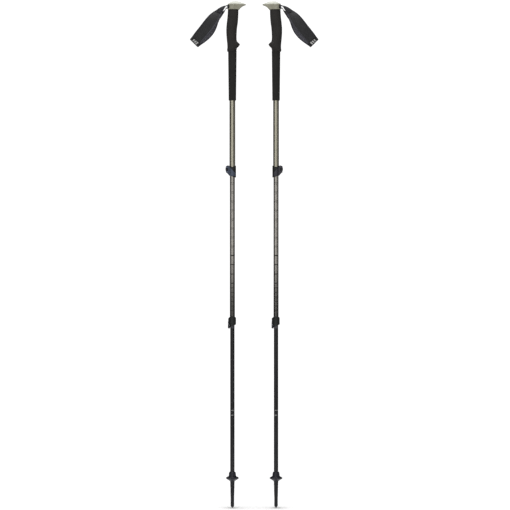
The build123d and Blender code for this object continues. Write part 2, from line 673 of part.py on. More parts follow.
def basket():
    """Small scalloped basket on a conical hub that turns on the ferrule."""
    bore = FERRULE_SLEEVE + RUNNING_CLEARANCE
    neck = LOWER_TUBE_RADIUS + LOOSE_CLEARANCE
    sleeve_top = BASKET_BOTTOM + FERRULE_TOP + BASKET_CAP
    disc = [(BASKET_RADIUS * share, BASKET_BOTTOM + rise) for share, rise in DISC_PROFILE]
    bell = [(FERRULE_SLEEVE + wall, BASKET_BOTTOM + rise) for wall, rise in BELL_PROFILE]
    foot = [(bore, BASKET_BOTTOM), (bore + BASKET_FOOT, BASKET_BOTTOM)]
    inside = [(neck, BASKET_TOP), (neck, sleeve_top), (bore, sleeve_top)]
    body = turned(foot + disc + bell + inside)
    cut = rod(SCALLOP_RADIUS, BASKET_BOTTOM - OVERSHOOT, BASKET_TOP)
    for index in range(SCALLOPS):
        turn = 360 / SCALLOPS * (index + 0.5)
        body -= Rot(0, 0, turn) * Pos(SCALLOP_CENTRE, 0, 0) * cut
    return body


# ---------------------------------------------------------------- one pole
def mirrored_pieces():
    """Pieces that are mirror images on the two poles, beak towards +X."""
    bore = UPPER_TUBE_RADIUS - TUBE_WALL
    upper_shaft = sleeve(UPPER_TUBE_RADIUS, bore, UPPER_TUBE_BOTTOM, UPPER_TUBE_TOP)
    slit_length = UPPER_COLLAR_HEIGHT - TUBE_SEAT - SLIT_SHORT
    slit = tube_slit(UPPER_TUBE_BOTTOM - OVERSHOOT, slit_length)
    pieces = {
        "grip_head": grip_head(),
        "pommel_pad": pommel_pad(),
        "strap_pin": strap_pin(),
        "strap_wedge": wedge_block(RUNNING_CLEARANCE),
        "strap_webbing": strap_webbing(),
        "strap_band": strap_band(),
        "strap_lining": strap_lining(),
        "strap_end_patch": strap_end_patch(),
        "grip_core": grip_core(UPPER_TUBE_RADIUS),
        "grip_foam": grip_foam(),
        "grip_extension": grip_extension(),
        "upper_shaft": upper_shaft - slit,
    }
    parts = lock(UPPER_TUBE_RADIUS, MIDDLE_TUBE_RADIUS, UPPER_COLLAR_HEIGHT, UPPER_LEVER_RISE)
    for name, solid in parts.items():
        pieces[f"upper_{name}"] = Pos(0, 0, UPPER_LOCK_BOTTOM) * solid
    return pieces


def matching_pieces():
    """Pieces that stand the same way round on both poles."""
    middle_bore = MIDDLE_TUBE_RADIUS - TUBE_WALL
    lower_bore = LOWER_TUBE_RADIUS - TUBE_WALL
    turn = Rot(0, 0, LOWER_LOCK_TURN)
    slit_length = LOWER_COLLAR_HEIGHT - TUBE_SEAT - SLIT_SHORT
    slit = tube_slit(MIDDLE_TUBE_BOTTOM - OVERSHOOT, slit_length)
    middle_shaft = sleeve(MIDDLE_TUBE_RADIUS, middle_bore, MIDDLE_TUBE_BOTTOM, MIDDLE_TUBE_TOP)
    pieces = {
        "middle_shaft": middle_shaft - turn * slit,
        "middle_plug": end_plug(middle_bore, UPPER_TUBE_RADIUS - TUBE_WALL, MIDDLE_TUBE_TOP),
        "lower_shaft": sleeve(LOWER_TUBE_RADIUS, lower_bore, LOWER_TUBE_BOTTOM, LOWER_TUBE_TOP),
        "lower_plug": end_plug(lower_bore, middle_bore, LOWER_TUBE_TOP),
        "tip_ferrule": tip_ferrule(),
        "carbide_tip": carbide_tip(),
        "basket": basket(),
    }
    parts = lock(MIDDLE_TUBE_RADIUS, LOWER_TUBE_RADIUS, LOWER_COLLAR_HEIGHT, LOWER_LEVER_RISE)
    for name, solid in parts.items():
        pieces[f"lower_{name}"] = turn * Pos(0, 0, LOWER_LOCK_BOTTOM) * solid
    return pieces


def write(name, solid):
    solid.label = name
    export_step(solid, f"parts/{name}.step")


os.makedirs("parts", exist_ok=True)
left = Pos(-POLE_SPACING / 2, 0, 0)
right = Pos(POLE_SPACING / 2, 0, 0)
for piece, shape in mirrored_pieces().items():
    write(f"left_{piece}", left * shape)
    write(f"right_{piece}", right * shape.mirror(Plane.YZ))
for piece, shape in matching_pieces().items():
    write(f"left_{piece}", left * shape)
    write(f"right_{piece}", right * shape)
print("pole length", POLE_TOP)
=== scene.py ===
import json
import math

import bpy
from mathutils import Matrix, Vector

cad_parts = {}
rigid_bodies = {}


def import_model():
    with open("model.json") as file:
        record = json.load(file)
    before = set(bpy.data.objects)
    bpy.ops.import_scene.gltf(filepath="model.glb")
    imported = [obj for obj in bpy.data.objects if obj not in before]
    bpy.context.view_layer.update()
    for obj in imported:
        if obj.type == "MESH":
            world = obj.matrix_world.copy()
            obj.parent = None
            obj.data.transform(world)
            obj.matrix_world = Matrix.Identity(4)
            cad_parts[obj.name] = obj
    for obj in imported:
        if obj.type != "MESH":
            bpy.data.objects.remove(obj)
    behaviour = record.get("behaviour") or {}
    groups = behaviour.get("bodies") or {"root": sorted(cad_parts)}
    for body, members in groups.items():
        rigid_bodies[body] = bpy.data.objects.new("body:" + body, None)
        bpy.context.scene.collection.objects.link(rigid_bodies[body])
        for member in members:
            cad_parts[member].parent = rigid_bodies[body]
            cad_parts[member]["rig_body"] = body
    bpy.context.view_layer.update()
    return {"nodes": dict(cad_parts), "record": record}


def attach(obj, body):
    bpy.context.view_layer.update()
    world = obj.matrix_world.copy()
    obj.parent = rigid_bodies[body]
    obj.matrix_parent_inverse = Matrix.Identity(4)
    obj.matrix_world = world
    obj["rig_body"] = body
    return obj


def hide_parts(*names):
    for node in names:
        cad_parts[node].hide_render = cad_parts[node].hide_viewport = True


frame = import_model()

# The looks of a pair of trekking poles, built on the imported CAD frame. Metres, +Z up. Each
# pole is described about its own axis with its beak towards +X; the right pole mirrors it.
MM = 0.001
POLE_X = 60.5 * MM
SIDES = {"left": 1, "right": -1}


# ------------------------------------------------------------------ materials
def srgb(red, green, blue):
    """A display colour, 0 to 255, as the linear colour that shaders take."""
    out = []
    for value in (red, green, blue):
        v = value / 255
        out.append(v / 12.92 if v <= 0.04045 else ((v + 0.055) / 1.055) ** 2.4)
    return tuple(out) + (1.0,)


class Finish:
    """One procedural material, with short names for the nodes it is made of."""

    def __init__(self, name, roughness=0.5, metallic=0.0, specular=0.5, sheen=0.0, coat=0.0):
        self.material = bpy.data.materials.new(name)
        self.material.use_nodes = True
        self.tree = self.material.node_tree
        self.shader = self.tree.nodes["Principled BSDF"]
        self.set("Roughness", roughness)
        self.set("Metallic", metallic)
        self.set("Specular IOR Level", specular)
        self.set("Sheen Weight", sheen)
        self.set("Sheen Roughness", 0.45)
        self.set("Coat Weight", coat)
        self.set("Coat Roughness", 0.18)
        self.relief = None

    def set(self, socket, value):
        target = self.shader.inputs[socket]
        if isinstance(value, bpy.types.NodeSocket):
            self.tree.links.new(value, target)
        else:
            target.default_value = value

    def node(self, kind, inputs, output=0, **settings):
        n = self.tree.nodes.new("ShaderNode" + kind)
        for key, value in settings.items():
            setattr(n, key, value)
        for key, value in inputs.items():
            if isinstance(value, bpy.types.NodeSocket):
                self.tree.links.new(value, n.inputs[key])
            else:
                n.inputs[key].default_value = value
        return n.outputs[output]

    def place(self, kind="Object", scale=(1, 1, 1)):
        """Texture coordinates in metres, scaled."""
        where = self.node("TexCoord", {}, kind)
        return self.node("Mapping", {"Vector": where, "Scale": scale})

    def noise(self, where, scale, detail=3.0, roughness=0.55):
        return self.node(
            "TexNoise",
            {"Vector": where, "Scale": scale, "Detail": detail, "Roughness": roughness},
        )

    def cells(self, where, scale, randomness=1.0):
        return self.node(
            "TexVoronoi",
            {"Vector": where, "Scale": scale, "Randomness": randomness},
            "Distance",
        )

    def math(self, operation, a, b=0.0):
        return self.node("Math", {0: a, 1: b}, operation=operation)

    def remap(self, value, low, high, to_low=0.0, to_high=1.0):
        return self.node(
            "MapRange",
            {"Value": value, "From Min": low, "From Max": high, "To Min": to_low, "To Max": to_high},
        )

    def blend(self, share, a, b):
        """Colour a where share is 0 and b where it is 1."""
        n = self.tree.nodes.new("ShaderNodeMix")
        n.data_type = "RGBA"
        for index, value in ((0, share), (6, a), (7, b)):
            if isinstance(value, bpy.types.NodeSocket):
                self.tree.links.new(value, n.inputs[index])
            else:
                n.inputs[index].default_value = value
        return n.outputs[2]

    def bump(self, height, depth, strength):
        """Adds relief, depth in metres."""
        inputs = {"Height": height, "Distance": depth, "Strength": strength}
        if self.relief is not None:
            inputs["Normal"] = self.relief
        self.relief = self.node("Bump", inputs)
        self.set("Normal", self.relief)


def axis_parts(f, where):
    n = f.tree.nodes.new("ShaderNodeSeparateXYZ")
    f.tree.links.new(where, n.inputs[0])
    return n.outputs


def foam_finish(name, base, light, cell):
    """Closed-cell foam: fine cells, a skin worn a little lighter, matt."""
    f = Finish(name, roughness=0.86, specular=0.22, sheen=0.06)
    where = f.place()
    fine = f.cells(where, cell)
    broad = f.noise(where, 42.0, 4.0)
    grain = f.noise(where, 2600.0, 2.0)
    colour = f.blend(f.remap(broad, 0.3, 0.72), base, light)
    # The cell hollows are darkened: painted shade in the pores.
    pores = f.remap(fine, 0.05, 0.35)
    dark = tuple(c * 0.55 for c in base[:3]) + (1.0,)
    pore_shade = f.math("SUBTRACT", 1.0, pores)
    f.set("Base Color", f.blend(f.math("MULTIPLY", pore_shade, 0.55), colour, dark))
    f.set("Roughness", f.remap(grain, 0.3, 0.7, 0.8, 0.95))
    f.bump(fine, 0.00016, 0.7)
    f.bump(grain, 0.00005, 0.8)
    f.bump(broad, 0.0006, 0.5)
    return f.material


def moulded_finish(name, base, light, roughness=0.5, specular=0.4, grain=1500.0, depth=0.00004):
    """Moulded plastic: spark-eroded grain, soft flow streaks, patches rubbed lighter."""
    f = Finish(name, roughness=roughness, specular=specular)
    where = f.place()
    fine = f.noise(where, grain, 3.0)
    broad = f.noise(f.place(scale=(1, 1, 0.35)), 70.0, 3.0)
    rub = f.noise(where, 260.0, 5.0, 0.7)
    colour = f.blend(f.remap(broad, 0.35, 0.68), base, light)
    worn = tuple(min(1.0, c * 1.5 + 0.01) for c in light[:3]) + (1.0,)
    f.set("Base Color", f.blend(f.remap(rub, 0.6, 0.78, 0.0, 0.45), colour, worn))
    f.set("Roughness", f.remap(rub, 0.35, 0.7, roughness - 0.07, roughness + 0.1))
    f.bump(fine, depth, 0.8)
    return f.material


def metal_finish(name, base, light, roughness=0.3, metallic=0.9, along=True):
    """Anodised aluminium: lines drawn along the piece, faint smears and hairline scratches."""
    f = Finish(name, roughness=roughness, metallic=metallic, specular=0.5)
    stretch = (1, 1, 0.02) if along else (1, 1, 1)
    drawn = f.noise(f.place(scale=stretch), 1900.0, 3.0)
    smear = f.noise(f.place(scale=(1, 1, 0.3)), 60.0, 4.0)
    scratch = f.noise(f.place(scale=(1, 1, 6.0)), 420.0, 6.0, 0.75)
    colour = f.blend(f.remap(smear, 0.3, 0.7), base, light)
    hairline = f.remap(scratch, 0.66, 0.74, 0.0, 0.2)
    bright = tuple(min(1.0, c * 1.4 + 0.02) for c in light[:3]) + (1.0,)
    f.set("Base Color", f.blend(hairline, colour, bright))
    smeared = f.remap(smear, 0.3, 0.7, roughness - 0.05, roughness + 0.06)
    scratched = f.math("MULTIPLY", hairline, 0.3)
    f.set("Roughness", f.math("ADD", smeared, scratched))
    f.bump(drawn, 0.000004, 0.5)
    f.bump(scratch, 0.000003, 0.4)
    return f


def weave_height(f, uv, across, along):
    """Plain weave: threads that pass over and under each other. Pitches in metres."""
    x, y, _ = axis_parts(f, uv)
    row = f.math("SINE", f.math("MULTIPLY", x, math.pi / along))
    column = f.math("SINE", f.math("MULTIPLY", y, math.pi / across))
    over = f.math("MULTIPLY", row, column)
    warp = f.math("ABSOLUTE", column)
    weft = f.math("ABSOLUTE", row)
    pick = f.math("GREATER_THAN", over, 0.0)
    warp_shown = f.math("MULTIPLY", warp, pick)
    weft_shown = f.math("MULTIPLY", weft, f.math("SUBTRACT", 1.0, pick))
    return f.math("ADD", warp_shown, weft_shown), pick


def woven_finish(name, warp, weft, across, along, depth, sheen=0.35, roughness=0.78):
    """Woven cloth on the piece's own length and width coordinates."""
    f = Finish(name, roughness=roughness, specular=0.25, sheen=sheen)
    f.set("Sheen Tint", (0.72, 0.72, 0.76, 1.0))
    uv = f.place("UV")
    threads, pick = weave_height(f, uv, across, along)
    broad = f.noise(f.place(), 55.0, 4.0)
    fibre = f.noise(uv, 5200.0, 2.0)
    colour = f.blend(f.math("MULTIPLY", pick, 0.8), warp, weft)
    # The colour darkens where the threads dip: painted shade between the threads.
    shade = f.remap(threads, 0.0, 0.8, 0.55, 0.0)
    dark = tuple(c * 0.45 for c in warp[:3]) + (1.0,)
    colour = f.blend(shade, colour, dark)
    pale = tuple(min(1.0, c * 1.35 + 0.006) for c in warp[:3]) + (1.0,)
    f.set("Base Color", f.blend(f.remap(broad, 0.4, 0.75, 0.0, 0.5), colour, pale))
    f.set("Roughness", f.remap(fibre, 0.3, 0.7, roughness - 0.08, roughness + 0.1))
    f.bump(threads, depth, 0.9)
    f.bump(fibre, depth * 0.3, 0.6)
    return f.material


def knit_finish(name, base, light, pitch, depth):
    """Brushed spacer knit: rows of small open cells under a soft nap."""
    f = Finish(name, roughness=0.92, specular=0.15, sheen=0.6)
    f.set("Sheen Tint", (0.78, 0.76, 0.86, 1.0))
    uv = f.place("UV")
    cells = f.cells(uv, 1.0 / pitch, randomness=0.12)
    nap = f.noise(f.place(), 1800.0, 4.0, 0.7)
    broad = f.noise(f.place(), 70.0, 4.0)
    colour = f.blend(f.remap(broad, 0.35, 0.7), base, light)
    dark = tuple(c * 0.5 for c in base[:3]) + (1.0,)
    # The open cells are darkened: painted shade in the holes.
    hole_shade = f.remap(cells, 0.12, 0.32, 0.6, 0.0)
    f.set("Base Color", f.blend(hole_shade, colour, dark))
    f.bump(f.remap(cells, 0.05, 0.45), depth, 0.8)
    f.bump(nap, depth * 0.4, 0.7)
    return f.material


def champagne_finish():
    f = metal_finish("champagne_tube", srgb(174, 170, 152), srgb(183, 179, 162), 0.27, 0.88)
    return f.material


def grey_finish():
    """Silver-grey tube that darkens towards its lower end."""
    f = metal_finish("grey_tube", srgb(168, 164, 157), srgb(177, 173, 166), 0.27, 0.88)
    _, _, z = axis_parts(f, f.place())
    span = {"Value": z, "From Min": 0.545, "From Max": 0.735}
    fade = f.node("MapRange", span, interpolation_type="SMOOTHSTEP")
    light = f.shader.inputs["Base Color"].links[0].from_socket
    cloud = f.noise(f.place(scale=(1, 1, 0.4)), 130.0, 5.0)
    dark = f.blend(f.remap(cloud, 0.3, 0.7), srgb(84, 83, 80), srgb(98, 96, 93))
    f.set("Base Color", f.blend(fade, dark, light))
    return f.material


def black_tube_finish():
    f = metal_finish("black_tube", srgb(30, 30, 32), srgb(38, 38, 40), 0.34, 0.2)
    return f.material


def lever_finish(name, base, light):
    f = metal_finish(name, base, light, 0.36, 0.35, along=False)
    return f.material


# After the two colours: roughness, specular, grain per metre and relief for a moulding, cells per
# metre for foam, pitch across and along, relief and sheen for a weave, pitch and relief for a knit.
finishes = {
    "pommel_plastic": moulded_finish(
        "pommel_plastic", srgb(172, 170, 150), srgb(186, 184, 165), 0.42, 0.45, 1300.0
    ),
    "pommel_soft": moulded_finish(
        "pommel_soft", srgb(226, 227, 214), srgb(234, 235, 225), 0.6, 0.35, 1100.0, 0.00006
    ),
    "steel": metal_finish("steel", srgb(38, 38, 42), srgb(52, 52, 56), 0.4, 0.7).material,
    "black_plastic": moulded_finish("black_plastic", srgb(38, 39, 38), srgb(48, 49, 48)),
    "grip_foam": foam_finish("grip_foam", srgb(58, 56, 54), srgb(66, 64, 62), 1500.0),
    "sleeve_foam": foam_finish("sleeve_foam", srgb(50, 49, 47), srgb(57, 56, 54), 1500.0),
    "champagne_tube": champagne_finish(),
    "grey_tube": grey_finish(),
    "black_tube": black_tube_finish(),
    "lock_plastic": moulded_finish(
        "lock_plastic", srgb(36, 38, 37), srgb(45, 47, 46), 0.45, 0.35, 1700.0
    ),
    "upper_lever": lever_finish("upper_lever", srgb(76, 85, 102), srgb(88, 96, 113)),
    # A darker copy of the lever finish for the right pole's lever: painted shade, as that lever
    # faces away from the light.
    "upper_lever_painted_shade": lever_finish("upper_lever_painted_shade", srgb(56, 55, 62), srgb(66, 64, 73)),
    "lower_lever": lever_finish("lower_lever", srgb(52, 54, 61), srgb(62, 64, 71)),
    "tip_plastic": moulded_finish("tip_plastic", srgb(28, 28, 31), srgb(35, 35, 39), 0.42, 0.25),
    "basket_plastic": moulded_finish(
        "basket_plastic", srgb(34, 34, 41), srgb(43, 43, 50), 0.4, 0.35, 900.0
    ),
    "carbide": metal_finish(
        "carbide", srgb(120, 120, 122), srgb(150, 150, 152), 0.5, 0.9, along=False
    ).material,
    "strap_webbing": woven_finish(
        "strap_webbing", srgb(30, 30, 33), srgb(44, 44, 49), 0.0011, 0.0008, 0.00022, 0.2
    ),
    "strap_fabric": woven_finish(
        "strap_fabric", srgb(60, 60, 61), srgb(73, 73, 75), 0.0006, 0.0006, 0.00012, 0.25
    ),
    "strap_binding": woven_finish(
        "strap_binding", srgb(60, 60, 67), srgb(74, 73, 82), 0.0007, 0.0005, 0.00010, 0.3
    ),
    # A lighter copy of the binding for the strap's lower edge: a painted highlight along that edge.
    "strap_binding_painted_highlight": woven_finish(
        "strap_binding_painted_highlight", srgb(80, 80, 87), srgb(94, 93, 101), 0.0007, 0.0005, 0.00010, 0.3
    ),
    "strap_lining": knit_finish(
        "strap_lining", srgb(112, 111, 119), srgb(126, 125, 133), 0.0021, 0.00035
    ),
    "strap_patch": moulded_finish(
        "strap_patch", srgb(22, 22, 25), srgb(32, 32, 36), 0.45, 0.45, 800.0, 0.00008
    ),
    "thread": woven_finish(
        "thread", srgb(96, 94, 106), srgb(120, 118, 130), 0.0004, 0.0004, 0.00006, 0.3
    ),
    "pale_print": moulded_finish(
        "pale_print", srgb(214, 214, 212), srgb(232, 232, 230), 0.55, 0.3, 2200.0, 0.00003
    ),
    "grey_print": moulded_finish(
        "grey_print", srgb(74, 74, 80), srgb(84, 84, 90), 0.5, 0.35, 2200.0, 0.00003
    ),
    "dark_print": moulded_finish(
        "dark_print", srgb(52, 51, 48), srgb(62, 61, 58), 0.6, 0.3, 2200.0, 0.00003
    ),
}


# ------------------------------------------------------------------ building meshes
def add_piece(name, verts, faces, finish, body, uv=None, smooth=True):
    """A mesh piece that rides on a body. uv gives one pair for each corner of each face."""
    mesh = bpy.data.meshes.new(name)
    mesh.from_pydata([tuple(v) for v in verts], [], faces)
    if uv:
        layer = mesh.uv_layers.new(name="UVMap")
        flat = [value for face in uv for pair in face for value in pair]
        layer.data.foreach_set("uv", flat)
    mesh.polygons.foreach_set("use_smooth", [smooth] * len(mesh.polygons))
    mesh.update()
    piece = bpy.data.objects.new(name, mesh)
    bpy.context.scene.collection.objects.link(piece)
    piece.data.materials.append(finishes[finish])
    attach(piece, body)
    return piece


def set_in_place(side, points):
    """Points about a pole's own axis, moved to that side's pole."""
    way = SIDES[side]
    return [Vector((way * (p[0] - POLE_X), p[1], p[2])) for p in points]


def facing(side, faces, uv=None):
    """Faces turned over on the mirrored side, so that they still face outwards."""
    if SIDES[side] > 0:
        return faces, uv
    turned = [tuple(reversed(face)) for face in faces]
    return turned, [list(reversed(face)) for face in uv] if uv else None


def skin(rings, lengths, cap=True):
    """Faces and UVs over a list of equal rings of points. lengths gives each ring's place."""
    count = len(rings[0])
    girth = [0.0]
    for index in range(count):
        gap = (Vector(rings[0][index]) - Vector(rings[0][(index + 1) % count])).length
        girth.append(girth[-1] + gap)
    faces, uv = [], []
    for row in range(len(rings) - 1):
        low, high = row * count, (row + 1) * count
        a, b = lengths[row], lengths[row + 1]
        for col in range(count):
            nxt = (col + 1) % count
            faces.append((low + col, low + nxt, high + nxt, high + col))
            uv.append([(a, girth[col]), (a, girth[col + 1]), (b, girth[col + 1]), (b, girth[col])])
    if cap:
        first = tuple(reversed(range(count)))
        last = tuple(range((len(rings) - 1) * count, len(rings) * count))
        for face in (first, last):
            faces.append(face)
            uv.append([(lengths[0], girth[i % count]) for i in range(count)])
    return faces, uv


def hermite(a, b, slope_a, slope_b, gap, t):
    t2, t3 = t * t, t * t * t
    return (
        a * (2 * t3 - 3 * t2 + 1)
        + slope_a * (gap * (t3 - 2 * t2 + t))
        + b * (3 * t2 - 2 * t3)
        + slope_b * (gap * (t3 - t2))
    )


class Smooth:
    """A smooth line through values at given places."""

    def __init__(self, places, values, closed=False):
        self.places, self.values = places, values
        self.slopes = []
        last = len(values) - 1
        for i in range(len(values)):
            before, after = max(i - 1, 0), min(i + 1, last)
            if closed and i in (0, last):
                gap = places[1] - places[0] + places[last] - places[last - 1]
                self.slopes.append((values[1] - values[last - 1]) * (1 / gap))
            else:
                gap = places[after] - places[before]
                self.slopes.append((values[after] - values[before]) * (1 / gap))

    def at(self, place):
        p = self.places
        place = min(max(place, p[0]), p[-1])
        i = 0
        while i < len(p) - 2 and place > p[i + 1]:
            i += 1
        gap = p[i + 1] - p[i]
        t = (place - p[i]) / gap
        ends = self.values[i], self.values[i + 1], self.slopes[i], self.slopes[i + 1]
        return hermite(*ends, gap, t)


# ------------------------------------------------------------------ grip
FOAM_LOW, FOAM_LEDGE, FOAM_TOP = 1262.5, 1271.3, 1380.5
# Height above the ledge as a share of the grip, reach behind the axis, in front, half depth.
FOAM_SECTIONS = (
    (0.000, 14.8, 12.4, 13.2),
    (0.046, 14.0, 17.6, 13.4),
    (0.106, 14.1, 20.9, 13.8),
    (0.143, 14.4, 18.0, 13.9),
    (0.202, 15.1, 12.8, 14.0),
    (0.312, 16.2, 11.7, 14.2),
    (0.422, 16.9, 12.2, 14.3),
    (0.532, 16.8, 13.0, 14.3),
    (0.660, 15.6, 15.0, 14.2),
    (0.826, 13.6, 16.4, 14.0),
    (1.000, 12.4, 17.0, 13.8),
)
AROUND = 72
FOAM_ROWS = 84
SLEEVE_ROWS = 40
# The rounded lip that overhangs the sleeve: inset, and height from the ledge.
LIP = ((2.9, -4.9), (2.2, -5.6), (1.4, -5.2), (0.7, -4.0), (0.25, -2.4))
LIP_BACK, LIP_FRONT, LIP_DEPTH = 14.8, 12.6, 13.4
LEDGE_SLOPE = 0.16      # rise of the ledge towards the front
SLOPE_END = 0.18        # share of the grip over which it levels out


def oval(back, front, depth, z, lift=0.0):
    """A ring of points from sizes in mm: it may reach further in front than behind."""
    ring = []
    for index in range(AROUND):
        angle = 2 * math.pi * index / AROUND
        c, s = math.cos(angle), math.sin(angle)
        x = (front - back) / 2 + c * (front + back) / 2
        ring.append(Vector((x * MM, s * depth * MM, (z + lift * x) * MM)))
    return ring


def build_grip(side):
    body = f"{side}_upper_section"
    shares = [s[0] for s in FOAM_SECTIONS]
    back = Smooth(shares, [s[1] for s in FOAM_SECTIONS])
    front = Smooth(shares, [s[2] for s in FOAM_SECTIONS])
    depth = Smooth(shares, [s[3] for s in FOAM_SECTIONS])
    span = FOAM_TOP - FOAM_LEDGE
    rings = []
    for inset, z in LIP:
        sizes = LIP_BACK - inset, LIP_FRONT - inset, LIP_DEPTH - inset
        rings.append(oval(*sizes, FOAM_LEDGE + z, LEDGE_SLOPE))
    for row in range(FOAM_ROWS + 1):
        share = row / FOAM_ROWS
        lift = LEDGE_SLOPE * max(0.0, 1 - share / SLOPE_END)
        sizes = back.at(share), front.at(share), depth.at(share)
        rings.append(oval(*sizes, FOAM_LEDGE + share * span, lift))
    rings.append(oval(12.0, 16.4, 13.2, FOAM_TOP))
    count = len(rings)
    faces, uv = skin(rings, [i * 0.0013 for i in range(count)])
    faces, uv = facing(side, faces, uv)
    points = set_in_place(side, [p for ring in rings for p in ring])
    foam = add_piece(f"{side}_grip_foam_skin", points, faces, "grip_foam", body, uv)
    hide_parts(f"{side}_grip_foam")


def build_extension(side):
    body = f"{side}_upper_section"
    profile = [
        (8.3, 1128.6), (9.2, 1128.5), (9.9, 1128.9),
        (10.35, 1129.8), (10.5, 1131.2), (10.45, 1134.0),
    ]
    for row in range(SLEEVE_ROWS + 1):
        share = row / SLEEVE_ROWS
        profile.append((10.42 + 1.38 * share, 1137.0 + (FOAM_LOW - 1137.0) * share))
    profile += [(11.8, 1266.6), (11.2, 1267.4)]
    rings = [oval(r, r, r, z) for r, z in profile]
    faces, uv = skin(rings, [z * MM for _, z in profile], cap=False)
    faces, uv = facing(side, faces, uv)
    points = set_in_place(side, [p for ring in rings for p in ring])
    name = f"{side}_grip_extension_skin"
    foam = add_piece(name, points, faces, "sleeve_foam", body, uv)
    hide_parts(f"{side}_grip_extension")


# ------------------------------------------------------------------ pommel pad
PAD_LOW, PAD_TOP = 1394.5, 1404.0
PAD_FRONT, PAD_HALF, BEAK_R = 36.9, 13.6, 3.4
ROUND_X = 0.6           # middle of the round back
PAD_RIM = 1.5
RIM_SHARE = 0.985       # of the pad's outline, where the dome starts
DOME_X, DOME_REACH, DOME_HALF = 11.9, 27.5, 19.0
DOME_STEPS = 15


def pad_edge(angle):
    """Outline of the pad, seen from above: a round back drawn out to a blunt beak."""
    c, s = math.cos(angle), math.sin(angle)
    best = 0.0
    for x, r in ((ROUND_X, PAD_HALF), (PAD_FRONT - BEAK_R, BEAK_R)):
        along = x * c
        off = r * r - (x * s) ** 2
        if off >= 0 and along + math.sqrt(off) > best:
            best = along + math.sqrt(off)
    # the straight flanks between the two rounds
    lean = math.acos((PAD_HALF - BEAK_R) / (PAD_FRONT - BEAK_R - ROUND_X))
    reach = ROUND_X * math.cos(lean) + PAD_HALF
    across = c * math.cos(lean) + abs(s) * math.sin(lean)
    if across > 0.05:
        flank = reach / across
        x = flank * c
        start = ROUND_X + PAD_HALF * math.cos(lean)
        end = PAD_FRONT - BEAK_R + BEAK_R * math.cos(lean)
        if start <= x <= end:
            best = max(best, flank)
    return best


def build_pad(side):
    """Soft dome: crowned along and across, with a rolled rim."""
    body = f"{side}_upper_section"
    rings = []
    top = PAD_TOP - PAD_LOW - PAD_RIM - 0.05
    rim = ((0.955, 0.0), (0.985, 0.3), (1.0, 0.7), (0.998, 1.1), (RIM_SHARE, PAD_RIM))
    points = [(share, rise, 0.0) for share, rise in rim]
    for step in range(1, DOME_STEPS):
        turn = step / DOME_STEPS * math.pi / 2
        points.append((RIM_SHARE * math.cos(turn), PAD_RIM, math.sin(turn)))
    for share, rise, crown in points:
        ring = []
        for index in range(AROUND):
            angle = 2 * math.pi * index / AROUND
            reach = pad_edge(angle) * share
            x, y = reach * math.cos(angle), reach * math.sin(angle)
            bulge = (1 - ((x - DOME_X) / DOME_REACH) ** 2) * (1 - (y / DOME_HALF) ** 2)
            z = PAD_LOW + rise + crown * top * max(bulge, 0.0)
            ring.append(Vector((x * MM, y * MM, z * MM)))
        rings.append(ring)
    faces, uv = skin(rings, [i * 0.001 for i in range(len(rings))])
    faces, uv = facing(side, faces, uv)
    placed = set_in_place(side, [p for ring in rings for p in ring])
    pad = add_piece(f"{side}_pommel_dome", placed, faces, "pommel_soft", body, uv)
    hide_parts(f"{side}_pommel_pad")


# ------------------------------------------------------------------ wrist strap
PIN_X, PIN_Z = -11.5, 1388.0
WEB_MID = 3.4
WEB_WIDTH = 20.0
LINE_X, LINE_RISE, FALL = 3.5, -0.5, 45.5
FRONT_LEG = (
    (5.0, 10.4, -0.3, 10.0, 20.0),
    (9.5, 11.4, -1.0, 21.0, 20.0),
    (18.0, 11.4, -2.5, 34.0, 20.5),
    (27.0, 11.6, -5.2, 46.0, 22.5),
    (40.0, 10.6, -9.6, 66.0, 27.0),
    (53.0, 8.6, -12.6, 82.0, 31.2),
    (70.0, 6.2, -14.5, 90.0, 33.5),
    (95.0, 3.4, -13.5, 90.0, 33.5),
    (118.0, 1.8, -9.5, 90.0, 32.5),
    (130.0, 0.6, -5.6, 90.0, 31.6),
)
BACK_LEG = (
    (17.0, 3.0, 1.2, 10.0, 20.0),
    (26.0, 3.2, 3.4, 18.0, 20.5),
    (38.0, 2.2, 6.5, 26.0, 22.0),
    (52.0, 0.6, 10.0, 40.0, 26.0),
    (66.0, -1.5, 13.0, 58.0, 30.0),
    (82.0, -2.4, 14.5, 84.0, 33.0),
    (99.0, -3.6, 13.5, 90.0, 33.5),
    (118.0, -2.4, 9.5, 90.0, 32.5),
    (130.0, -0.8, 5.6, 90.0, 31.6),
)
FOLD_AT, FOLD_R, FOLD_W = 135.5, 4.0, 31.4


